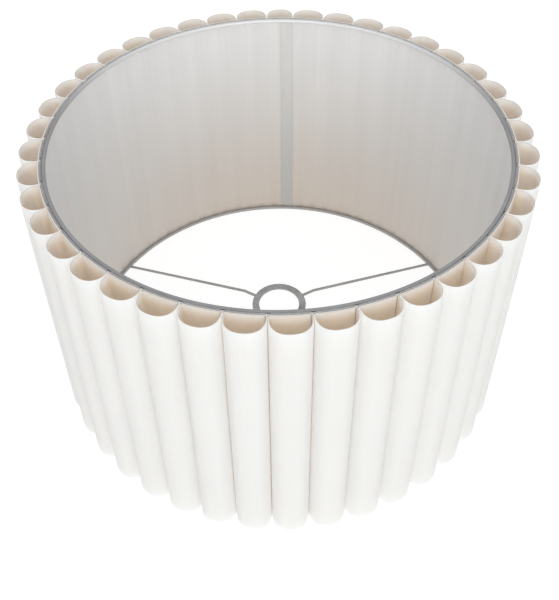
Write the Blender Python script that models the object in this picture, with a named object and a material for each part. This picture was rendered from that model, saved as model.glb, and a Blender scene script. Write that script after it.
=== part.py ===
"""Fluted drum lamp shade.

A translucent sheet liner stands between two wire rings. Forty-one D-shaped tubes of laminated fabric stand
side by side round it. Three wire spokes rise from the lower ring to a flat ring that the lampholder clamps.
"""

import math

import bmesh
import bpy
from mathutils import Vector

# Driving dimensions, in metres, with angles in degrees. +Z is up and the front is -Y. The origin is on the
# shade's axis, in the plane of its lower edge. Azimuth 0 is the front, and azimuths grow towards +X.
OVERALL_DIAMETER = 0.450
OVERALL_HEIGHT = 0.269

# Pieces that bear on each other keep this gap, which stands for the glue or the weld.
TOUCH_GAP = 0.0003

# Flutes: the makers start at one joint near the front and work round both ways. One narrower flute closes
# the ring at the back, and each run shares out what is left on its side. A flute has a back that follows
# the liner, two flat sides and a full rounded front.
FLUTE_DEPTH = 0.01915
FLUTE_WALL = 0.0009
FLUTE_FLAT_SIDE = 0.0045
FLUTE_FULLNESS = 2.3
FLUTES_EACH_WAY = 20
FIRST_JOINT_AZIMUTH = -2.1
CLOSING_AZIMUTH = 179.1
CLOSING_PITCH = 7.6
FLUTE_BACK_STEPS = 3
FLUTE_FRONT_STEPS = 10

# Liner: one sheet rolled to a cylinder, its two ends held edge to edge by a strip on the inside.
LINER_THICKNESS = 0.0008
LINER_STEPS = 120
JOINT_AZIMUTH = 177.0
JOINT_SLIT = 0.0003
STRIP_WIDTH = 0.0127
STRIP_THICKNESS = 0.0004
STRIP_END_CLEARANCE = 0.001
STRIP_STEPS = 4

# Wire frame: two rings, and three spokes that rise inwards and lie flat where they carry the fitter ring.
RING_WIRE = 0.0035
RING_STEPS = 72
SPOKE_WIRE = 0.003
SPOKE_COUNT = 3
SPOKE_RISE = 0.0432
SPOKE_FLAT_REACH = 0.0145
SPOKE_BEND_RADIUS = 0.012
SPOKE_BEND_STEPS = 5
SPOKE_END_INSET = 0.0035

# Fitter ring: a flat steel ring for a screw-collar lampholder.
FITTER_HOLE_DIAMETER = 0.042
FITTER_RIM_WIDTH = 0.007
FITTER_THICKNESS = 0.002
FITTER_EDGE_BREAK = 0.0003
FITTER_STEPS = 48

# Sizes that follow from those.
FLUTE_BACK_RADIUS = OVERALL_DIAMETER / 2 - FLUTE_DEPTH
LINER_OUTER_RADIUS = FLUTE_BACK_RADIUS - TOUCH_GAP
LINER_INNER_RADIUS = LINER_OUTER_RADIUS - LINER_THICKNESS
RING_RADIUS = LINER_INNER_RADIUS - TOUCH_GAP - RING_WIRE / 2
RIGHT_PITCH = (CLOSING_AZIMUTH - CLOSING_PITCH / 2 - FIRST_JOINT_AZIMUTH) / FLUTES_EACH_WAY
LEFT_PITCH = (360 - CLOSING_PITCH) / FLUTES_EACH_WAY - RIGHT_PITCH
FITTER_OUTER_RADIUS = FITTER_HOLE_DIAMETER / 2 + FITTER_RIM_WIDTH
SPOKE_KNEE_RADIUS = FITTER_OUTER_RADIUS + SPOKE_FLAT_REACH
SPOKE_FLAT_HEIGHT = RING_WIRE / 2 + SPOKE_RISE
FITTER_BOTTOM = SPOKE_FLAT_HEIGHT + SPOKE_WIRE / 2 + TOUCH_GAP


def clear_scene():
    """Removes whatever the file starts with."""
    for obj in list(bpy.data.objects):
        bpy.data.objects.remove(obj, do_unlink=True)


def make_material(name, colour, roughness, metallic=0.0, alpha=1.0):
    """A Principled material in one plain finish."""
    material = bpy.data.materials.new(name)
    material.use_nodes = True
    shader = material.node_tree.nodes["Principled BSDF"]
    shader.inputs["Base Color"].default_value = (*colour, 1.0)
    shader.inputs["Roughness"].default_value = roughness
    shader.inputs["Metallic"].default_value = metallic
    shader.inputs["Alpha"].default_value = alpha
    material.diffuse_color = (*colour, alpha)
    return material


def add_object(name, data, material, parent, azimuth=0.0):
    """Links an object under the shade's empty, turned about the axis to its azimuth."""
    if not data.materials:
        data.materials.append(material)
    obj = bpy.data.objects.new(name, data)
    obj.rotation_euler.z = math.radians(azimuth)
    obj.parent = parent
    bpy.context.scene.collection.objects.link(obj)
    return obj


def on_circle(radius, azimuth):
    """The point at this radius and azimuth, as (x, y)."""
    angle = math.radians(azimuth)
    return radius * math.sin(angle), -radius * math.cos(angle)


def arc(radius, start, end, steps):
    """Points along an arc about the axis, both ends included."""
    return [on_circle(radius, start + (end - start) * step / steps) for step in range(steps + 1)]


def standing_wall(name, outer, inner, bottom, height, closed):
    """A mesh of the wall between two outlines that run side by side, standing from bottom to bottom + height."""
    bm = bmesh.new()
    rows = [[bm.verts.new((x, y, bottom)) for x, y in outline] for outline in (outer, inner)]
    count = len(outer)
    for this in range(count if closed else count - 1):
        after = (this + 1) % count
        bm.faces.new((rows[0][this], rows[0][after], rows[1][after], rows[1][this]))
    raised = bmesh.ops.extrude_face_region(bm, geom=bm.faces[:])
    lifted = [item for item in raised["geom"] if isinstance(item, bmesh.types.BMVert)]
    bmesh.ops.translate(bm, verts=lifted, vec=(0.0, 0.0, height))
    bmesh.ops.recalc_face_normals(bm, faces=bm.faces[:])
    mesh = bpy.data.meshes.new(name)
    bm.to_mesh(mesh)
    bm.free()
    mesh.shade_smooth()
    mesh.set_sharp_from_angle(angle=math.radians(35))
    return mesh


def wire_curve(name, points, diameter, closed):
    """A round wire through the points."""
    curve = bpy.data.curves.new(name, "CURVE")
    curve.dimensions = "3D"
    curve.bevel_depth = diameter / 2
    curve.bevel_resolution = 2
    curve.use_fill_caps = not closed
    spline = curve.splines.new("POLY")
    spline.points.add(len(points) - 1)
    for place, point in zip(spline.points, points):
        place.co = (*point, 1.0)
    spline.use_cyclic_u = closed
    return curve


def flute_outline(pitch, inset):
    """The closed outline of a flute that faces the front, drawn in from its own space by this much."""
    half = math.radians(pitch / 2)
    back = FLUTE_BACK_RADIUS + inset
    side_gap = TOUCH_GAP / 2 + inset
    out = Vector((math.sin(half), -math.cos(half)))
    inward = Vector((-math.cos(half), -math.sin(half)))
    shoulder = out * (FLUTE_BACK_RADIUS + FLUTE_FLAT_SIDE) + inward * side_gap
    crown = OVERALL_DIAMETER / 2 - inset
    depth = crown + shoulder.y
    back_half = math.degrees(half - math.asin(side_gap / back))
    points = arc(back, -back_half, back_half, FLUTE_BACK_STEPS)
    for step in range(FLUTE_FRONT_STEPS + 1):
        turn = math.pi * step / FLUTE_FRONT_STEPS
        across = math.copysign(abs(math.cos(turn)) ** (2 / FLUTE_FULLNESS), math.cos(turn))
        forward = abs(math.sin(turn)) ** (2 / FLUTE_FULLNESS)
        points.append((shoulder.x * across, shoulder.y - depth * forward))
    return points


def flute_mesh(name, pitch):
    outer = flute_outline(pitch, 0.0)
    inner = flute_outline(pitch, FLUTE_WALL)
    return standing_wall(name, outer, inner, 0.0, OVERALL_HEIGHT, closed=True)


def add_flutes(parent, fabric):
    """Both runs of flutes from the first joint, and the one that closes the ring."""
    for side, pitch, direction in (("right", RIGHT_PITCH, 1), ("left", LEFT_PITCH, -1)):
        mesh = flute_mesh(f"flute_{side}", pitch)
        for number in range(FLUTES_EACH_WAY):
            azimuth = FIRST_JOINT_AZIMUTH + direction * pitch * (number + 0.5)
            add_object(f"flute_{side}_{number + 1:02d}", mesh, fabric, parent, azimuth)
    mesh = flute_mesh("flute_closing", CLOSING_PITCH)
    add_object("flute_closing", mesh, fabric, parent, CLOSING_AZIMUTH)


def add_liner(parent, sheet, strip):
    """The rolled sheet, and the strip that joins its ends between the two rings."""
    slit = math.degrees(JOINT_SLIT / 2 / LINER_INNER_RADIUS)
    outer = arc(LINER_OUTER_RADIUS, slit, 360 - slit, LINER_STEPS)
    inner = arc(LINER_INNER_RADIUS, slit, 360 - slit, LINER_STEPS)
    mesh = standing_wall("liner", outer, inner, 0.0, OVERALL_HEIGHT, closed=False)
    add_object("liner", mesh, sheet, parent, JOINT_AZIMUTH)

    face = LINER_INNER_RADIUS - TOUCH_GAP
    half = math.degrees(STRIP_WIDTH / 2 / face)
    outer = arc(face, -half, half, STRIP_STEPS)
    inner = arc(face - STRIP_THICKNESS, -half, half, STRIP_STEPS)
    end = RING_WIRE + STRIP_END_CLEARANCE
    mesh = standing_wall("liner_joint_strip", outer, inner, end, OVERALL_HEIGHT - 2 * end, closed=False)
    add_object("liner_joint_strip", mesh, strip, parent, JOINT_AZIMUTH)


def add_rings(parent, steel):
    """The two wire rings, flush with the edges of the liner."""
    for name, height in (("bottom_ring", RING_WIRE / 2), ("top_ring", OVERALL_HEIGHT - RING_WIRE / 2)):
        around = arc(RING_RADIUS, 0, 360, RING_STEPS)[:-1]
        points = [(x, y, height) for x, y in around]
        add_object(name, wire_curve(name, points, RING_WIRE, closed=True), steel, parent)


def spoke_points():
    """The middle line of a spoke that faces the front: up from the ring, round the knee, and flat to its end."""
    reach = RING_WIRE / 2 + TOUCH_GAP
    lean = math.atan2(SPOKE_RISE, RING_RADIUS - reach - SPOKE_KNEE_RADIUS)
    start_radius = RING_RADIUS - reach / math.cos(lean)
    start_height = SPOKE_FLAT_HEIGHT - (start_radius - SPOKE_KNEE_RADIUS) * math.tan(lean)
    tangent = SPOKE_BEND_RADIUS * math.tan(lean / 2)
    centre = Vector((SPOKE_KNEE_RADIUS - tangent, SPOKE_FLAT_HEIGHT - SPOKE_BEND_RADIUS))
    profile = [(start_radius, start_height)]
    for step in range(SPOKE_BEND_STEPS + 1):
        turn = lean * (1 - step / SPOKE_BEND_STEPS)
        profile.append(
            (centre.x + SPOKE_BEND_RADIUS * math.sin(turn), centre.y + SPOKE_BEND_RADIUS * math.cos(turn))
        )
    profile.append((FITTER_HOLE_DIAMETER / 2 + SPOKE_END_INSET, SPOKE_FLAT_HEIGHT))
    return [(0.0, -radius, height) for radius, height in profile]


def add_spider(parent, steel, plate):
    """Three spokes, and the fitter ring that lies on their inner ends."""
    curve = wire_curve("spoke", spoke_points(), SPOKE_WIRE, closed=False)
    for number in range(SPOKE_COUNT):
        add_object(f"spoke_{number + 1}", curve, steel, parent, 360 / SPOKE_COUNT * number)

    outer = arc(FITTER_OUTER_RADIUS, 0, 360, FITTER_STEPS)[:-1]
    inner = arc(FITTER_HOLE_DIAMETER / 2, 0, 360, FITTER_STEPS)[:-1]
    mesh = standing_wall("fitter_ring", outer, inner, FITTER_BOTTOM, FITTER_THICKNESS, closed=True)
    ring = add_object("fitter_ring", mesh, plate, parent)
    edges = ring.modifiers.new("edge_break", "BEVEL")
    edges.width = FITTER_EDGE_BREAK
    edges.segments = 1
    edges.limit_method = "ANGLE"
    edges.angle_limit = math.radians(60)


def build():
    clear_scene()
    shade = bpy.data.objects.new("lamp_shade", None)
    bpy.context.scene.collection.objects.link(shade)
    fabric = make_material("laminated_fabric", (0.83, 0.82, 0.79), 0.85)
    sheet = make_material("liner_sheet", (0.62, 0.62, 0.60), 0.45)
    strip = make_material("joint_strip", (0.52, 0.52, 0.49), 0.4)
    steel = make_material("wire_steel", (0.42, 0.42, 0.43), 0.35, metallic=1.0)
    plate = make_material("plate_steel", (0.50, 0.50, 0.50), 0.3, metallic=1.0)
    add_flutes(shade, fabric)
    add_liner(shade, sheet, strip)
    add_rings(shade, steel)
    add_spider(shade, steel, plate)


build()
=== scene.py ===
"""The fluted drum lamp shade as it looks: fabric, liner, wire frame and fitter ring, on a plain floor."""

import math
import random

import bmesh
import bpy
from mathutils import Matrix, Vector


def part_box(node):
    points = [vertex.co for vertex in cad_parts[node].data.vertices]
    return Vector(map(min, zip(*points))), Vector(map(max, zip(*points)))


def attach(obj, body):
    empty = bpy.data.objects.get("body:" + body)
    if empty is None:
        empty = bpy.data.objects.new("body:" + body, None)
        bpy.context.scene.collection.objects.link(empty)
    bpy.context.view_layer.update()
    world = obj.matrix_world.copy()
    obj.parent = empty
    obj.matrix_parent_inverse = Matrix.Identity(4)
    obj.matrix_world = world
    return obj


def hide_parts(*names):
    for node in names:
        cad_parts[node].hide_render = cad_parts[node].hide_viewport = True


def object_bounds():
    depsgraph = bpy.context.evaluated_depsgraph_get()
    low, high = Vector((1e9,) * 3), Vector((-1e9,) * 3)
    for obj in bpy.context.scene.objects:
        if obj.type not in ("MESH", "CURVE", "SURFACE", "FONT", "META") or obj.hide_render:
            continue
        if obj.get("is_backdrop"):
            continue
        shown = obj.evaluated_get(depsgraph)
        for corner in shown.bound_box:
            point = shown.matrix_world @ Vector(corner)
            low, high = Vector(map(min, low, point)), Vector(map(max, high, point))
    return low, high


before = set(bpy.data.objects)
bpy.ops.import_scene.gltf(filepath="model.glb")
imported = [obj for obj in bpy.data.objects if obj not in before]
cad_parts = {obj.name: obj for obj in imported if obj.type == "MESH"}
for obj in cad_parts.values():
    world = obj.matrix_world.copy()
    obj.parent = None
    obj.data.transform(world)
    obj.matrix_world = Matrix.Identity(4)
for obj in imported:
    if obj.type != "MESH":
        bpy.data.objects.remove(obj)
cad_low, cad_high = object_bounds()


# ---- Flutes --------------------------------------------------------------------------------------------
# Each flute is one strip of white plain-weave fabric laminated to a beige backing. It is scored and folded
# to a D-shaped tube, lapped and glued at its back, and glued to the liner. Two runs of twenty start near
# the front, and one narrower flute closes the ring behind.

shade_height = cad_high.z - cad_low.z
ply = 0.0009  # fabric and backing together
glue_film = 0.00008
flat_side = 0.0045
fold_radius = 0.0017
fullness = 2.3
knife_softness = 0.00014
lap_margin = 0.0013  # how far each end of the strip stops short of the next fold
lap_share = 0.8  # where the lapped layer leaves its fold, as a share of the half angle
tightest_fold = 0.0003
thread = 0.00062  # from one yarn to the next
most_lean = 0.00045
most_bow = 0.0003
swell_range = (0.00005, 0.0003)
swell_turns = 4.5  # radians of the swelling from bottom to top
most_trim = 0.00012
roll_step = 0.173  # along the roll of fabric, from one strip to the next
skin_rows = 12
fold_steps = 4
under_steps = 8
front_steps = 44
lap_steps = 7
sharp_fold = math.radians(38)

flute_names = [f"flute_{side}_{number:02d}" for side in ("right", "left") for number in range(1, 21)]
flute_names.append("flute_closing")


def at_azimuth(across, outward, height, azimuth):
    """The point this far across and outward, turned about the shade's axis. Azimuth 0 faces the front."""
    sine, cosine = math.sin(azimuth), math.cos(azimuth)
    return Vector((across * cosine + outward * sine, across * sine - outward * cosine, height))


def space_of(name):
    """Azimuth, half angle, back radius and crown radius of the space that a flute fills."""
    spots = [vertex.co.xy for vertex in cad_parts[name].data.vertices]
    middle = sum(spots, Vector((0.0, 0.0)))
    azimuth = math.atan2(middle.x, -middle.y)
    back = min(spot.length for spot in spots)
    crown = max(spot.length for spot in spots)
    half = 0.0
    for spot in spots:
        turn = math.atan2(spot.x, -spot.y) - azimuth
        half = max(half, math.atan2(math.sin(turn), math.cos(turn)))
    return azimuth, half, back, crown


def fold(before, corner, after):
    """Points of a rounded fold between two stretches of the strip, given its corner."""
    points = []
    for step in range(fold_steps + 1):
        part = step / fold_steps
        points.append(before.lerp(corner, part).lerp(corner.lerp(after, part), part))
    return points


def on_back(radius, turn):
    return Vector((radius * math.sin(turn), radius * math.cos(turn)))


def strip_line(half, back, crown, depth, sway):
    """The strip as (across, outward) points, this deep below its outer face: from the end that lies on the
    liner, round the right side and the front, and down the left side to the lapped end."""
    out = Vector((math.sin(half), math.cos(half)))
    inward = Vector((-math.cos(half), math.sin(half)))
    side = inward * depth
    left = Vector((-1, 1))
    radius = max(fold_radius - depth, tightest_fold)
    under, over = back + depth, back + ply + glue_film + depth
    short = half - lap_margin / back
    line = [on_back(under, short * (2 * step / under_steps - 1)) for step in range(under_steps)]

    corner = out * under + side
    foot = corner + out * radius
    line += fold(on_back(under, half - (radius + depth) / under), corner, foot)

    shoulder = out * (back + flat_side) + side
    line.append(foot.lerp(shoulder, 0.5))
    rise = crown - depth - shoulder.y
    for step in range(front_steps + 1):
        turn = math.pi * step / front_steps
        power = 2 / fullness
        across = math.copysign(abs(math.cos(turn)) ** power, math.cos(turn))
        forward = abs(math.sin(turn)) ** power
        line.append(Vector((shoulder.x * across + sway * forward ** 2, shoulder.y + rise * forward)))

    corner = (out * over + side) * left
    foot = corner + out * left * radius
    line.append((shoulder * left).lerp(foot, 0.5))
    line += fold(foot, corner, on_back(over, (radius + depth) / over - half))
    lap_start, lap_end = -half * lap_share, short - ply / back
    for step in range(lap_steps + 1):
        line.append(on_back(over, lap_start + (lap_end - lap_start) * step / lap_steps))
    return line


def section_round():
    """(depth, height, face) round the strip's thickness: up the fabric, over the edge, down the backing."""
    clear = shade_height - 2 * knife_softness
    rows = [knife_softness + clear * row / skin_rows for row in range(skin_rows + 1)]
    up = [(0.0, height, "fabric") for height in rows]
    down = [(ply, height, "backing") for height in reversed(rows)]
    over = [(knife_softness, shade_height, "edge"), (ply - knife_softness, shade_height, "edge")]
    under = [(ply - knife_softness, 0.0, "edge"), (knife_softness, 0.0, "edge")]
    return up + over + down + under


def strip_length(half, back, crown):
    line = strip_line(half, back, crown, ply / 2, 0.0)
    return sum((b - a).length for a, b in zip(line, line[1:]))


def flute_mesh(name, number):
    """One folded strip. It is hand work, so each leans and swells a little in its own way."""
    chance = random.Random(410 + number)
    azimuth, half, back, crown = space_of(name)
    lean, bow = chance.uniform(-most_lean, most_lean), chance.uniform(-most_bow, most_bow)
    swell, wave = chance.uniform(*swell_range), chance.uniform(0, math.tau)
    trim = chance.uniform(0, most_trim)
    roll_offset = roll_step * number

    round_strip = section_round()
    grid = []
    for depth, height, _ in round_strip:
        share = height / shade_height
        sway = lean * (2 * share - 1) + bow * math.sin(math.pi * share)
        drawn_in = swell * (1 + math.cos(wave + swell_turns * share)) / 2
        line = strip_line(half, back, crown - drawn_in, depth, sway)
        grid.append([at_azimuth(spot.x, spot.y, height - trim * share, azimuth) for spot in line])
    line = strip_line(half, back, crown, 0.0, 0.0)
    along = [0.0]
    for a, b in zip(line, line[1:]):
        along.append(along[-1] + (b - a).length)
    shoulder = back + flat_side
    forward = [max(0.0, (spot.y - shoulder) / (crown - shoulder)) for spot in line]
    crease = [abs(place - along[under_steps + fold_steps // 2]) for place in along]

    bm = bmesh.new()
    lay = bm.loops.layers.uv.new("strip")
    fold_lay = bm.loops.layers.uv.new("fold")
    verts = [[bm.verts.new(point) for point in row] for row in grid]
    kinds = {"fabric": 0, "backing": 1, "edge": 2, "glued": 3}
    count = len(round_strip)
    for k in range(count):
        after = (k + 1) % count
        here, there = round_strip[k], round_strip[after]
        face_kind = here[2] if here[2] == there[2] else "edge"
        for i in range(len(along) - 1):
            face = bm.faces.new((verts[k][i], verts[k][i + 1], verts[after][i + 1], verts[after][i]))
            face.material_index = kinds["glued" if face_kind == "edge" and i < under_steps else face_kind]
            spots = ((i, here), (i + 1, here), (i + 1, there), (i, there))
            for loop, (place, (depth, height, _)) in zip(face.loops, spots):
                loop[lay].uv = (along[place] + roll_offset, depth if face_kind == "edge" else height)
                loop[fold_lay].uv = (forward[place], crease[place])
    last = 2 * skin_rows + 3
    for end in (0, -1):
        for k in range(-1, skin_rows + 1):
            corners = (k % count, k + 1, last - k - 1, (last - k) % count)
            face = bm.faces.new([verts[c][end] for c in corners])
            face.material_index = kinds["edge"]
    bmesh.ops.recalc_face_normals(bm, faces=bm.faces[:])
    mesh = bpy.data.meshes.new(name + "_strip")
    bm.to_mesh(mesh)
    bm.free()
    mesh.shade_smooth()
    mesh.set_sharp_from_angle(angle=sharp_fold)
    return mesh, strip_length(half, back, crown)


class Tone:
    """A socket in a finish's nodes. Arithmetic on tones adds Math nodes, and node() adds any other node."""

    def __init__(self, tree, socket=None):
        self.tree = tree
        self.socket = socket

    def node(self, kind, settings=None, sockets=None, out=0):
        """Adds one node: first its settings, then the values or links of its sockets. Gives one output."""
        made = self.tree.nodes.new("ShaderNode" + kind)
        for name, value in (settings or {}).items():
            if name == "stops":
                while len(made.color_ramp.elements) < len(value):
                    made.color_ramp.elements.new(1.0)
                for element, (place, colour) in zip(made.color_ramp.elements, value):
                    element.position = place
                    element.color = colour
            else:
                setattr(made, name, value)
        for name, value in (sockets or {}).items():
            if isinstance(value, Tone):
                self.tree.links.new(value.socket, made.inputs[name])
            else:
                made.inputs[name].default_value = value
        return Tone(self.tree, made.outputs[out] if made.outputs else None)

    def math(self, operation, *values):
        return self.node("Math", {"operation": operation}, dict(enumerate(values)))

    def __add__(self, other):
        return self.math("ADD", self, other)

    def __sub__(self, other):
        return self.math("SUBTRACT", self, other)

    def __rsub__(self, other):
        return self.math("SUBTRACT", other, self)

    def __mul__(self, other):
        return self.math("MULTIPLY", self, other)

    def __pow__(self, other):
        return self.math("POWER", self, other)

    __radd__ = __add__
    __rmul__ = __mul__

    def wave(self, turns):
        """The sine of this length times so many half turns a metre."""
        return self.math("SINE", self * (math.pi * turns))

    def size(self):
        return self.math("ABSOLUTE", self)

    def between(self, low, high):
        """0 below low and 1 above high, with a smooth step between."""
        limits = {"Value": self, "From Min": low, "From Max": high}
        return self.node("MapRange", {"interpolation_type": "SMOOTHSTEP"}, limits)

    def mix(self, first, second):
        """The first colour where this tone is 0, and the second where it is 1."""
        return self.node("Mix", {"data_type": "RGBA"}, {0: self, 6: first, 7: second}, out=2)

    def grain(self, x, y, detail=2.0):
        """Soft noise from 0 to 1, one lump to each unit of x and y."""
        place = self.node("CombineXYZ", None, {"X": x, "Y": y})
        return self.node("TexNoise", None, {"Vector": place, "Scale": 1.0, "Detail": detail})

    def bump(self, distance, strength=1.0):
        return self.node("Bump", None, {"Height": self, "Distance": distance, "Strength": strength})


def finish(name, paint, map_name, through=0.0, tint=(1, 1, 1, 1)):
    """A material whose shader sockets come from paint(u, v), with u and v in metres over the surface. A
    share of the light passes through it and takes its tint."""
    material = bpy.data.materials.new(name)
    material.use_nodes = True
    tree = material.node_tree
    tree.nodes.clear()
    place = Tone(tree).node("UVMap", {"uv_map": map_name})
    u = place.node("SeparateXYZ", None, {"Vector": place}, out=0)
    v = place.node("SeparateXYZ", None, {"Vector": place}, out=1)
    sockets = paint(u, v)
    shader = place.node("BsdfPrincipled", None, sockets)
    if through:
        glow = place.node("BsdfTranslucent", None, {"Color": tint})
        shader = place.node("MixShader", None, {0: through, 1: shader, 2: glow})
    place.node("OutputMaterial", None, {"Surface": shader})
    return material


yarn_low = (0.852, 0.882, 0.888, 1)
yarn_high = (0.92, 0.953, 0.958, 1)
yarn_worn = (0.82, 0.81, 0.78, 1)
yarn_end = (0.88, 0.87, 0.85, 1)
# painted shade: a warm, darker tint on the side walls next to each valley
valley_warm_shade = (0.86, 0.76, 0.66, 1)
side_glow = (0.15, 0.156, 0.165, 1)
unlit = (0, 0, 0, 1)
flat_film_low = (0.85, 0.755, 0.61, 1)
flat_film_high = (0.93, 0.855, 0.73, 1)
# painted shade: darker, browner copies of the backing for the curved wall deep in the tube
shaded_bent_film_low = (0.74, 0.615, 0.5, 1)
shaded_bent_film_high = (0.81, 0.7, 0.59, 1)
# painted light: paler backing near the two open ends
lit_end_film = (0.9, 0.885, 0.865, 1)
film_cut = (0.62, 0.56, 0.48, 1)
# painted shade: a dark brown line in the fold corner by the lap
corner_shade_brown = (0.3, 0.265, 0.19, 1)
glue_layer = (0.5, 0.46, 0.4, 1)
grey_glue_low = (0.3, 0.3, 0.295, 1)
grey_glue_high = (0.42, 0.42, 0.41, 1)
fabric_through = 0.32
film_through = 0.46
fabric_tint = (1, 1, 1, 1)
film_tint = (1, 0.965, 0.92, 1)


def woven_fabric(u, v):
    """Plain weave: warp yarns run up the flute and weft yarns round it, each with its own slubs. A faint
    glow on the side walls stands for the light that the cloth scatters from one flute to the next."""
    warp, weft = u.wave(1 / thread), v.wave(1 / thread)
    over = warp * weft
    crown = over.math("MAXIMUM", warp.size() * (0.5 + 0.5 * over), weft.size() * (0.5 - 0.5 * over))
    slub = u.grain(u * (0.9 / thread), v * 55) + v.grain(u * 48, v * (0.9 / thread))
    cloud = u.grain(u * 22, v * 9)
    rib = u.grain(u * 480, v * 3)
    folds = u.node("UVMap", {"uv_map": "fold"})
    forward = u.node("SeparateXYZ", None, {"Vector": folds})
    side_wall = 1 - forward.between(0.12, 0.8)
    worn = (v - (shade_height - 0.004)).between(0.0, 0.004)
    shade = crown * 0.3 + slub * 0.4 + cloud * 0.2 + rib * 0.25
    colour = shade.between(0.25, 1.05).mix(yarn_low, yarn_high)
    colour = (worn * 0.12).mix(colour, yarn_worn)
    # Painted shade: the side walls by each valley are tinted warmer and darker.
    colour = (1 - forward.between(0.0, 0.16)).mix(colour, valley_warm_shade)
    height = crown * 0.8 + slub * 0.5
    return {
        "Base Color": colour,
        "Roughness": 0.92 - crown * 0.12,
        "Sheen Weight": 0.12,
        "Sheen Roughness": 0.45,
        "Specular IOR Level": 0.3,
        "Emission Color": side_wall.mix(unlit, side_glow),
        "Emission Strength": 1.0,
        "Normal": height.bump(0.00022),
    }


def beige_backing(u, v):
    """A smooth paper-like film, mottled, with faint streaks from the rollers that laminated it. It is
    painted paler near the two open ends as painted light, browner and darker on the curved wall as
    painted shade deep in the tube, and a dark brown line in the fold by the lap is painted shade."""
    mottle = u.grain(u * 900, v * 900, 3.0)
    streak = u.grain(u * 260, v * 6)
    cloud = u.grain(u * 40, v * 14)
    folds = u.node("UVMap", {"uv_map": "fold"})
    forward = u.node("SeparateXYZ", None, {"Vector": folds}, out=0)
    crease = u.node("SeparateXYZ", None, {"Vector": folds}, out=1)
    shade = (mottle * 0.3 + streak * 0.4 + cloud * 0.35).between(0.3, 0.8)
    flat_wall = shade.mix(flat_film_low, flat_film_high)
    shaded_bent_wall = shade.mix(shaded_bent_film_low, shaded_bent_film_high)
    colour = forward.between(0.02, 0.3).mix(flat_wall, shaded_bent_wall)
    from_end = v.math("MINIMUM", v, shade_height - v)
    colour = (1 - from_end.between(0.001, 0.01)).mix(colour, lit_end_film)
    return {
        "Base Color": (1 - crease.between(0.0003, 0.0009)).mix(colour, corner_shade_brown),
        "Roughness": 0.62 + mottle * 0.18,
        "Specular IOR Level": 0.35,
        "Normal": (mottle + streak).bump(0.00005),
    }


def knife_edge(u, v):
    """The cut through the layers: white yarn ends outside, then a dark line of adhesive and the backing."""
    ragged = u.grain(u * 2600, v * 1500, 3.0)
    layer = v * (1 / ply) + (ragged - 0.5) * 0.25
    stops = [(0.0, yarn_end), (0.6, yarn_end), (0.68, glue_layer), (1.0, film_cut)]
    return {
        "Base Color": layer.node("ValToRGB", {"stops": stops}, {"Fac": layer}),
        "Roughness": 0.85 + ragged * 0.12,
        "Specular IOR Level": 0.25,
        "Normal": ragged.bump(0.00016),
    }


def glued_edge(u, v):
    """The cut edge of the end that lies on the liner, grey with dried adhesive."""
    lump = u.grain(u * 900, v * 900, 3.0)
    return {
        "Base Color": lump.between(0.3, 0.7).mix(grey_glue_low, grey_glue_high),
        "Roughness": 0.5 + lump * 0.3,
        "Normal": lump.bump(0.0002),
    }


strip_finishes = [
    finish("woven_fabric", woven_fabric, "strip", fabric_through, fabric_tint),
    finish("beige_backing", beige_backing, "strip", film_through, film_tint),
    finish("knife_edge", knife_edge, "strip"),
    finish("glued_edge", glued_edge, "strip"),
]
for number, name in enumerate(flute_names):
    mesh, width = flute_mesh(name, number)
    for material in strip_finishes:
        mesh.materials.append(material)
    flute = bpy.data.objects.new(name + "_strip", mesh)
    bpy.context.scene.collection.objects.link(flute)
    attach(flute, "root")
    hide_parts(name)


# ---- Liner ---------------------------------------------------------------------------------------------
# The drum itself: one satin sheet of off-white plastic, rolled to a cylinder with its ends butted at the
# back. The flutes' glue draws its inner face out by a hair's breadth, in faint upright bands. A strip of
# tape on the inside holds the two ends.

liner_slit = 0.0003
flute_columns = 12  # columns of the liner's mesh behind each flute
liner_rows = 10
liner_ripple = 0.00005
tape_ends = [corner.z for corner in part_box("liner_joint_strip")]
tape_edge_softness = 0.00016
tape_columns = 12
tape_rows = 6


def radii_of(name):
    reach = [vertex.co.xy.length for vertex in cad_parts[name].data.vertices]
    return min(reach), max(reach)


def azimuth_of(name):
    middle = sum((vertex.co.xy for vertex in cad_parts[name].data.vertices), Vector((0.0, 0.0)))
    return math.atan2(middle.x, -middle.y)


def sheet_section(inner, outer, low, high, softness, rows):
    """(radius, height) round a standing sheet's thickness, with its edges broken."""
    steps = [low + softness + (high - low - 2 * softness) * row / rows for row in range(rows + 1)]
    up = [(outer, height) for height in steps]
    down = [(inner, height) for height in reversed(steps)]
    over = [(outer - softness, high), (inner + softness, high)]
    under = [(inner + softness, low), (outer - softness, low)]
    return up + over + down + under


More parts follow.
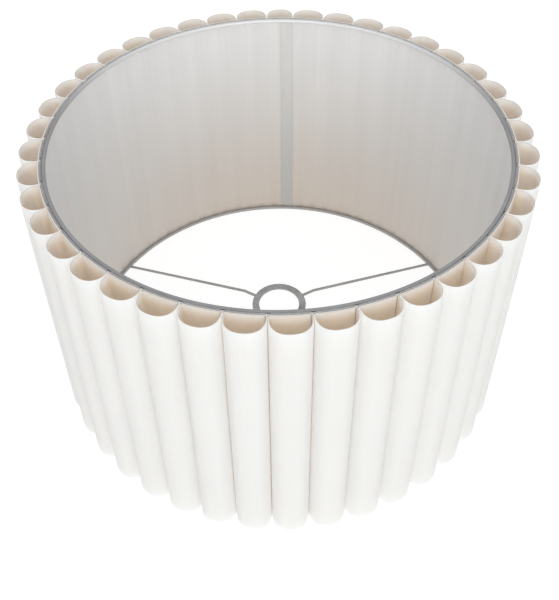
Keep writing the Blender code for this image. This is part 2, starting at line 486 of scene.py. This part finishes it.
def rolled_sheet(name, section, start, sweep, columns, ripple=0.0):
    """A sheet bent round the axis from one azimuth to another, with both ends closed. Its first material is
    for the two faces, and its second for the edges."""
    bm = bmesh.new()
    lay = bm.loops.layers.uv.new("roll")
    inner = min(radius for radius, _ in section)
    verts = []
    for column in range(columns + 1):
        azimuth = start + sweep * column / columns
        drawn = ripple * math.cos(math.tau * column / flute_columns) ** 2
        verts.append([bm.verts.new(at_azimuth(0, radius + drawn * (radius == inner), height, azimuth))
                      for radius, height in section])
    count = len(section)
    for column in range(columns):
        for k in range(count):
            after = (k + 1) % count
            here, there = verts[column], verts[column + 1]
            face = bm.faces.new((here[k], there[k], there[after], here[after]))
            face.material_index = int(section[k][0] != section[after][0])
            spots = ((column, k), (column + 1, k), (column + 1, after), (column, after))
            for loop, (place, level) in zip(face.loops, spots):
                loop[lay].uv = (inner * sweep * place / columns, section[level][1])
    rows = (count - 4) // 2 - 1
    last = 2 * rows + 3
    for end in (0, -1):
        for k in range(-1, rows + 1):
            corners = (k % count, k + 1, last - k - 1, (last - k) % count)
            bm.faces.new([verts[end][c] for c in corners])
    bmesh.ops.recalc_face_normals(bm, faces=bm.faces[:])
    mesh = bpy.data.meshes.new(name)
    bm.to_mesh(mesh)
    bm.free()
    mesh.shade_smooth()
    mesh.set_sharp_from_angle(angle=sharp_fold)
    return mesh


sheet_low = (0.785, 0.78, 0.77, 1)
sheet_high = (0.885, 0.88, 0.87, 1)
# painted shade: a greyer liner towards the front
front_shade_grey = (0.68, 0.68, 0.675, 1)
# painted shade: a darker, warmer liner towards the bottom
low_warm_shade = (0.74, 0.66, 0.58, 1)
edge_grey_low = (0.27, 0.27, 0.275, 1)
edge_grey_high = (0.4, 0.4, 0.4, 1)
# painted shade in the gap where two flutes meet
joint_gap_shade = (0.07, 0.07, 0.07, 1)
tape_low = (0.635, 0.63, 0.605, 1)
tape_high = (0.695, 0.69, 0.67, 1)
# painted shade: darker tape towards the bottom
tape_low_shade = (0.5, 0.5, 0.475, 1)
sheet_through = 0.2


def flute_joint(u):
    """1 behind each joint between two flutes, falling to 0 halfway between joints."""
    first, half = space_of("flute_right_01")[:2]
    pitch = (space_of("flute_right_02")[0] - first) * liner_inner
    start = (joint_azimuth + slit_turn / 2 - first + half - math.tau) * liner_inner
    return 1 - (u + start).wave(1 / pitch) ** 2


def satin_liner(u, v):
    """Off-white plastic with fine calender streaks. Faint lighter upright bands behind the flutes' joints
    are painted light coming through there. It is painted greyer towards the front, and darker and warmer in
    stripes towards the bottom, most of all at the back, as painted shade."""
    # Painted light: lighter bands behind the joints stand for light coming through there.
    joint_light_band = flute_joint(u) * u.grain(u * 9, v * 4)
    streak = u.grain(u * 300, v * 2)
    stripe = u.grain(u * 95, v * 1.5)
    cloud = u.grain(u * 16, v * 10)
    colour = (joint_light_band * 0.2 + streak * 0.4 + cloud * 0.3).between(0.12, 0.72)
    behind = 1 - u.wave(1 / (math.tau * liner_inner)) ** 2
    colour = colour.mix(sheet_low, sheet_high)
    colour = (0.5 - behind * 0.5).mix(colour, front_shade_grey)
    warm_shade_mask = (1 - v.between(-0.03, 0.25)) * (0.1 + 0.9 * behind ** 2) * (0.55 + 0.9 * stripe)
    return {
        "Base Color": warm_shade_mask.mix(colour, low_warm_shade),
        "Roughness": 0.42 + streak * 0.16,
        "Specular IOR Level": 0.4,
        "Normal": (streak * 0.6 + cloud).bump(0.00006),
    }


def liner_edge(u, v):
    """The sheared edge of the sheet, mottled grey, and painted dark as shade in the gap where two flutes
    meet."""
    edge_grain = u.grain(u * 500, v * 500, 3.0)
    colour = edge_grain.between(0.35, 0.7).mix(edge_grey_low, edge_grey_high)
    return {
        "Base Color": flute_joint(u).between(0.94, 0.99).mix(colour, joint_gap_shade),
        "Roughness": 0.4 + edge_grain * 0.3,
        "Normal": edge_grain.bump(0.00012),
    }


def joint_tape(u, v):
    """Matt film over the joint, a shade darker where the adhesive shows through, and painted darker towards
    the bottom as painted shade.
    """
    flow = u.grain(u * 700, v * 60)
    patch = u.grain(u * 90, v * 45, 3.0)
    colour = (flow * 0.5 + patch * 0.5).between(0.3, 0.75)
    colour = colour.mix(tape_low, tape_high)
    return {
        "Base Color": v.between(-0.02, 0.24).mix(tape_low_shade, colour),
        "Roughness": 0.5 + patch * 0.15,
        "Normal": (flow + patch).bump(0.00005),
    }


liner_inner, liner_outer = radii_of("liner")
joint_azimuth = azimuth_of("liner_joint_strip")
slit_turn = liner_slit / liner_inner
section = sheet_section(liner_inner, liner_outer, 0.0, shade_height, knife_softness, liner_rows)
mesh = rolled_sheet("liner_sheet", section, joint_azimuth + slit_turn / 2, math.tau - slit_turn,
                    len(flute_names) * flute_columns, liner_ripple)
mesh.materials.append(finish("satin_liner", satin_liner, "roll", sheet_through))
mesh.materials.append(finish("liner_edge", liner_edge, "roll"))
liner = bpy.data.objects.new("liner_sheet", mesh)
bpy.context.scene.collection.objects.link(liner)
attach(liner, "root")
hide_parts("liner")

tape_inner, tape_outer = radii_of("liner_joint_strip")
tape_spots = [vertex.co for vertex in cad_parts["liner_joint_strip"].data.vertices]
tape_half = max(at_azimuth(spot.x, -spot.y, 0, -joint_azimuth).x for spot in tape_spots) / tape_outer
section = sheet_section(tape_inner, tape_outer, *tape_ends, tape_edge_softness, tape_rows)
mesh = rolled_sheet("joint_tape", section, joint_azimuth - tape_half, 2 * tape_half, tape_columns)
mesh.materials.append(finish("joint_tape", joint_tape, "roll"))
mesh.materials.append(mesh.materials[0])
tape = bpy.data.objects.new("joint_tape", mesh)
bpy.context.scene.collection.objects.link(tape)
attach(tape, "root")
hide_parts("liner_joint_strip")


# ---- Wire rings ----------------------------------------------------------------------------------------
# Two hoops of drawn steel wire, butt welded and coated grey. They are glued inside the liner, flush with its
# top and bottom edges. The weld leaves a low bead on the inner side.

hoop_steps = 360
wire_sides = 20
weld_bead = 0.00022
weld_reach = 0.0028
hoop_welds = {"top_ring": math.radians(148), "bottom_ring": math.radians(-146)}
sharp_edge = math.radians(50)
grey_coat = ((0.25, 0.25, 0.258, 1), (0.33, 0.33, 0.338, 1))
pale_coat = ((0.42, 0.415, 0.405, 1), (0.52, 0.515, 0.505, 1))
# painted reflection: a paler coat at the back of the upper ring
back_reflection_coat = (0.76, 0.755, 0.76, 1)


def wire_mesh(name, stations, closed):
    """A round wire through (centre, first axis, second axis, radius) stations, the axes square to it."""
    bm = bmesh.new()
    lay = bm.loops.layers.uv.new("wire")
    verts, along = [], [0.0]
    for centre, first, second, radius in stations:
        ring = []
        for side in range(wire_sides):
            turn = math.tau * side / wire_sides
            ring.append(bm.verts.new(centre + (first * math.cos(turn) + second * math.sin(turn)) * radius))
        verts.append(ring)
    for before, after in zip(stations, stations[1:] + stations[:1]):
        along.append(along[-1] + (after[0] - before[0]).length)
    girth = math.tau * stations[0][3]
    for k in range(len(stations) if closed else len(stations) - 1):
        here, there = verts[k], verts[(k + 1) % len(stations)]
        for side in range(wire_sides):
            after = (side + 1) % wire_sides
            face = bm.faces.new((here[side], here[after], there[after], there[side]))
            spots = ((side, k), (side + 1, k), (side + 1, k + 1), (side, k + 1))
            for loop, (turn, place) in zip(face.loops, spots):
                loop[lay].uv = (girth * turn / wire_sides, along[place])
    if not closed:
        bm.faces.new(verts[0])
        bm.faces.new(verts[-1])
    bmesh.ops.recalc_face_normals(bm, faces=bm.faces[:])
    mesh = bpy.data.meshes.new(name)
    bm.to_mesh(mesh)
    bm.free()
    mesh.shade_smooth()
    mesh.set_sharp_from_angle(angle=sharp_edge)
    return mesh


def coated_wire(u, v, coat):
    """Grey stoved coat over drawn wire: faint die lines along it, small runs and a soft orange-peel."""
    die_line = u.grain(u * 3200, v * 9)
    peel = u.grain(u * 700, v * 700)
    run = u.grain(u * 60, v * 35)
    colour = (die_line * 0.35 + run * 0.5 + peel * 0.25).between(0.3, 0.8)
    return {
        "Base Color": colour.mix(*coat),
        "Metallic": 0.2,
        "Roughness": 0.3 + run * 0.22,
        "Coat Weight": 0.15,
        "Coat Roughness": 0.25,
        "Normal": (peel * 0.7 + die_line * 0.5).bump(0.00005),
    }


def grey_wire(u, v):
    """The coat of the upper ring, painted paler at the back as a painted reflection of the bright front."""
    length = math.tau * sum(radii_of("top_ring")) / 2
    behind = (v.wave(1 / length) ** 2).between(0.5, 0.97)
    sockets = coated_wire(u, v, grey_coat)
    sockets["Base Color"] = behind.mix(sockets["Base Color"], back_reflection_coat)
    return sockets


def pale_wire(u, v):
    """The same coat in a paler grey, on the lower ring and the spokes."""
    return coated_wire(u, v, pale_coat)


wire_coats = {"top_ring": finish("grey_wire", grey_wire, "wire")}
wire_coats["bottom_ring"] = finish("pale_wire", pale_wire, "wire")
for name, weld_azimuth in hoop_welds.items():
    inside, outside = radii_of(name)
    low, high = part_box(name)
    hoop_radius, wire_radius = (inside + outside) / 2, (high.z - low.z) / 2
    stations = []
    for step in range(hoop_steps):
        azimuth = math.tau * step / hoop_steps
        away = abs(math.remainder(azimuth - weld_azimuth, math.tau)) * hoop_radius
        bead = weld_bead * math.exp(-((away / weld_reach) ** 2))
        centre = at_azimuth(0, hoop_radius - bead, (low.z + high.z) / 2, azimuth)
        stations.append((centre, at_azimuth(0, 1, 0, azimuth), Vector((0, 0, 1)), wire_radius))
    mesh = wire_mesh(name + "_hoop", stations, closed=True)
    mesh.materials.append(wire_coats[name])
    hoop = bpy.data.objects.new(name + "_hoop", mesh)
    bpy.context.scene.collection.objects.link(hoop)
    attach(hoop, "root")
    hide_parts(name)


# ---- Spokes --------------------------------------------------------------------------------------------
# Three lengths of the same coated wire. Each is welded to the lower ring, climbs inwards, bends at a knee
# and lies flat under the fitter ring, where it is welded again. The weld at its foot is a low collar.

spoke_radius = 0.0015
foot_height = 0.0018  # of the spoke's middle, where it meets the lower ring
weld_bite = 0.0002
end_rounding = 0.0003
knee_radius = 0.0425
knee_bend = 0.012
knee_steps = 10
collar_grow = 0.00025
collar_reach = 0.0016


def spoke_line(inside_ring, flat_height, inner_end):
    """(outward, height) points along a spoke, from the lower ring to its inner end."""
    rise = flat_height - foot_height
    lean = math.atan2(rise, inside_ring - knee_radius)
    cut = knee_bend * math.tan(lean / 2)
    centre = Vector((knee_radius - cut, flat_height - knee_bend))
    start = Vector((inside_ring, flat_height - (inside_ring - knee_radius) * math.tan(lean)))
    bend = []
    for step in range(knee_steps + 1):
        turn = lean * (1 - step / knee_steps)
        bend.append(centre + knee_bend * Vector((math.sin(turn), math.cos(turn))))
    climb = [start.lerp(bend[0], share) for share in (0, 0.004, 0.008, 0.014, 0.02, 0.35, 0.7)]
    end = Vector((inner_end, flat_height))
    return climb + bend + [bend[-1].lerp(end, share) for share in (0.35, 0.7, 0.95, 1.0)]


for number in (1, 2, 3):
    name = f"spoke_{number}"
    flat_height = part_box(name)[1].z - spoke_radius
    line = spoke_line(radii_of("bottom_ring")[0] + weld_bite, flat_height, radii_of(name)[0])
    azimuth = azimuth_of(name)
    across = at_azimuth(1, 0, 0, azimuth)
    stations = []
    for k, spot in enumerate(line):
        ahead, behind = line[min(k + 1, len(line) - 1)], line[max(k - 1, 0)]
        heading = (ahead - behind).normalized()
        square = at_azimuth(0, heading.y, -heading.x, azimuth)
        collar = collar_grow * math.exp(-(((spot - line[0]).length / collar_reach) ** 2))
        rounding = end_rounding if k == len(line) - 1 else 0.0
        stations.append((at_azimuth(0, spot.x, spot.y, azimuth), across, square,
                         spoke_radius + collar - rounding))
    mesh = wire_mesh(name + "_wire", stations, closed=False)
    mesh.materials.append(wire_coats["bottom_ring"])
    spoke = bpy.data.objects.new(name + "_wire", mesh)
    bpy.context.scene.collection.objects.link(spoke)
    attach(spoke, "root")
    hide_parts(name)


# ---- Fitter ring ---------------------------------------------------------------------------------------
# A ring stamped from flat steel and zinc plated, which the lampholder's two collars clamp. The punch rolls
# its upper edges over, and each spoke's projection weld leaves a shallow dimple on top.

fitter_columns = 180
punch_roll = 0.0005
punch_steps = 4
burr_break = 0.0002
dimple_depth = 0.00022
dimple_radius = 0.0016
rim_rows = 10
zinc_low = (0.36, 0.36, 0.37, 1)
zinc_high = (0.49, 0.49, 0.49, 1)
zinc_dull = (0.3, 0.295, 0.285, 1)


def fitter_section(inner, outer, low, high):
    """(radius, height) round the ring's section: under it outwards, up, over the top inwards and down."""
    points = [(inner + burr_break, low), (outer - burr_break, low), (outer, low + burr_break)]
    for step in range(punch_steps + 1):
        turn = math.radians(90 * step / punch_steps)
        points.append((outer - punch_roll * (1 - math.cos(turn)), high - punch_roll * (1 - math.sin(turn))))
    for row in range(1, rim_rows):
        points.append((outer - punch_roll + (inner - outer + 2 * punch_roll) * row / rim_rows, high))
    for step in range(punch_steps + 1):
        turn = math.radians(90 - 90 * step / punch_steps)
        points.append((inner + punch_roll * (1 - math.cos(turn)), high - punch_roll * (1 - math.sin(turn))))
    points.append((inner, low + burr_break))
    return points


def zinc_plate(u, v):
    """Bright zinc over punched steel: fine rubbing marks, cloudy plating and dull patches."""
    rub = u.grain(u * 90, v * 4200, 3.0)
    cloud = u.grain(u * 130, v * 130)
    dull = u.grain(u * 45 + 7, v * 45, 3.0).between(0.5, 0.72)
    colour = (rub * 0.4 + cloud * 0.6).between(0.3, 0.75)
    colour = colour.mix(zinc_low, zinc_high)
    return {
        "Base Color": (dull * 0.5).mix(colour, zinc_dull),
        "Metallic": 1.0,
        "Roughness": 0.28 + dull * 0.22 + rub * 0.1,
        "Normal": (rub * 0.7 + cloud * 0.4).bump(0.00004),
    }


fitter_inner, fitter_outer = radii_of("fitter_ring")
low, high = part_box("fitter_ring")
section = fitter_section(fitter_inner, fitter_outer, low.z, high.z)
weld_middle = (fitter_outer + radii_of("spoke_1")[0]) / 2
bm = bmesh.new()
lay = bm.loops.layers.uv.new("plate")
verts = []
for column in range(fitter_columns):
    azimuth = math.tau * column / fitter_columns
    row = []
    for radius, height in section:
        away = 1.0
        for number in (1, 2, 3):
            weld = at_azimuth(0, weld_middle, 0, azimuth_of(f"spoke_{number}"))
            away = min(away, (at_azimuth(0, radius, 0, azimuth) - weld).length)
        sunk = dimple_depth * math.exp(-((away / dimple_radius) ** 2)) * (height > low.z + burr_break)
        row.append(bm.verts.new(at_azimuth(0, radius, height - sunk, azimuth)))
    verts.append(row)
for column in range(fitter_columns):
    here, there = verts[column], verts[(column + 1) % fitter_columns]
    for k in range(len(section)):
        after = (k + 1) % len(section)
        face = bm.faces.new((here[k], there[k], there[after], here[after]))
        spots = ((column, k), (column + 1, k), (column + 1, after), (column, after))
        for loop, (place, level) in zip(face.loops, spots):
            loop[lay].uv = (math.tau * fitter_outer * place / fitter_columns, sum(section[level]))
bmesh.ops.recalc_face_normals(bm, faces=bm.faces[:])
mesh = bpy.data.meshes.new("fitter_plate")
bm.to_mesh(mesh)
bm.free()
mesh.shade_smooth()
mesh.set_sharp_from_angle(angle=sharp_edge)
mesh.materials.append(finish("zinc_plate", zinc_plate, "plate"))
fitter = bpy.data.objects.new("fitter_plate", mesh)
bpy.context.scene.collection.objects.link(fitter)
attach(fitter, "root")
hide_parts("fitter_ring")


# ---- Floor, light and camera ---------------------------------------------------------------------------
# The shade stands on a pale floor that glows, as on a light table, in an even white room. One large soft
# lamp in front and above brightens what faces it.

floor_half = 9.0
floor_grey = (0.34, 0.34, 0.34, 1)
floor_white = (1, 1, 1, 1)
floor_glow = 0.8
room_white = (0.985, 0.99, 1.0, 1)
room_light = 0.8
lamp_size = (2.6, 1.8)
lamp_power = 31
lamp_place = Vector((0.2, -2.35, 1.2))
lamp_aim = Vector((0, 0, 0.15))
camera_place = (0.0013, -0.5967, 0.7204)
camera_pitch = 41.44
camera_yaw = -1.03
camera_roll = -1.19
camera_lens = 50.94
camera_shift = (0.0192, -0.1667)

bm = bmesh.new()
bmesh.ops.create_grid(bm, x_segments=8, y_segments=8, size=floor_half)
mesh = bpy.data.meshes.new("floor")
bm.to_mesh(mesh)
bm.free()
material = bpy.data.materials.new("pale_floor")
material.use_nodes = True
shader = material.node_tree.nodes["Principled BSDF"]
shader.inputs["Base Color"].default_value = floor_grey
shader.inputs["Roughness"].default_value = 0.9
shader.inputs["Specular IOR Level"].default_value = 0.1
shader.inputs["Emission Color"].default_value = floor_white
shader.inputs["Emission Strength"].default_value = floor_glow
mesh.materials.append(material)
floor = bpy.data.objects.new("floor", mesh)
bpy.context.scene.collection.objects.link(floor)
floor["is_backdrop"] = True

world = bpy.data.worlds.new("white_room")
world.use_nodes = True
world.node_tree.nodes["Background"].inputs["Color"].default_value = room_white
world.node_tree.nodes["Background"].inputs["Strength"].default_value = room_light
bpy.context.scene.world = world

lamp_data = bpy.data.lights.new("soft_box", "AREA")
lamp_data.shape = "RECTANGLE"
lamp_data.size, lamp_data.size_y = lamp_size
lamp_data.energy = lamp_power
lamp = bpy.data.objects.new("soft_box", lamp_data)
lamp.location = lamp_place
lamp.rotation_euler = (lamp_aim - lamp_place).to_track_quat("-Z", "Y").to_euler()
bpy.context.scene.collection.objects.link(lamp)

camera_data = bpy.data.cameras.new("camera")
camera_data.lens = camera_lens
camera_data.shift_x, camera_data.shift_y = camera_shift
camera_data.clip_start = 0.01
camera = bpy.data.objects.new("camera", camera_data)
turn = Matrix.Rotation(math.radians(-camera_yaw), 4, "Z")
tilt = Matrix.Rotation(math.radians(90 - camera_pitch), 4, "X")
roll = Matrix.Rotation(math.radians(camera_roll), 4, "Z")
camera.matrix_world = Matrix.Translation(camera_place) @ turn @ tilt @ roll
bpy.context.scene.collection.objects.link(camera)
bpy.context.scene.camera = camera
bpy.context.scene.view_settings.view_transform = "Standard"
bpy.context.scene.cycles.diffuse_bounces = 8

low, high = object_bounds()
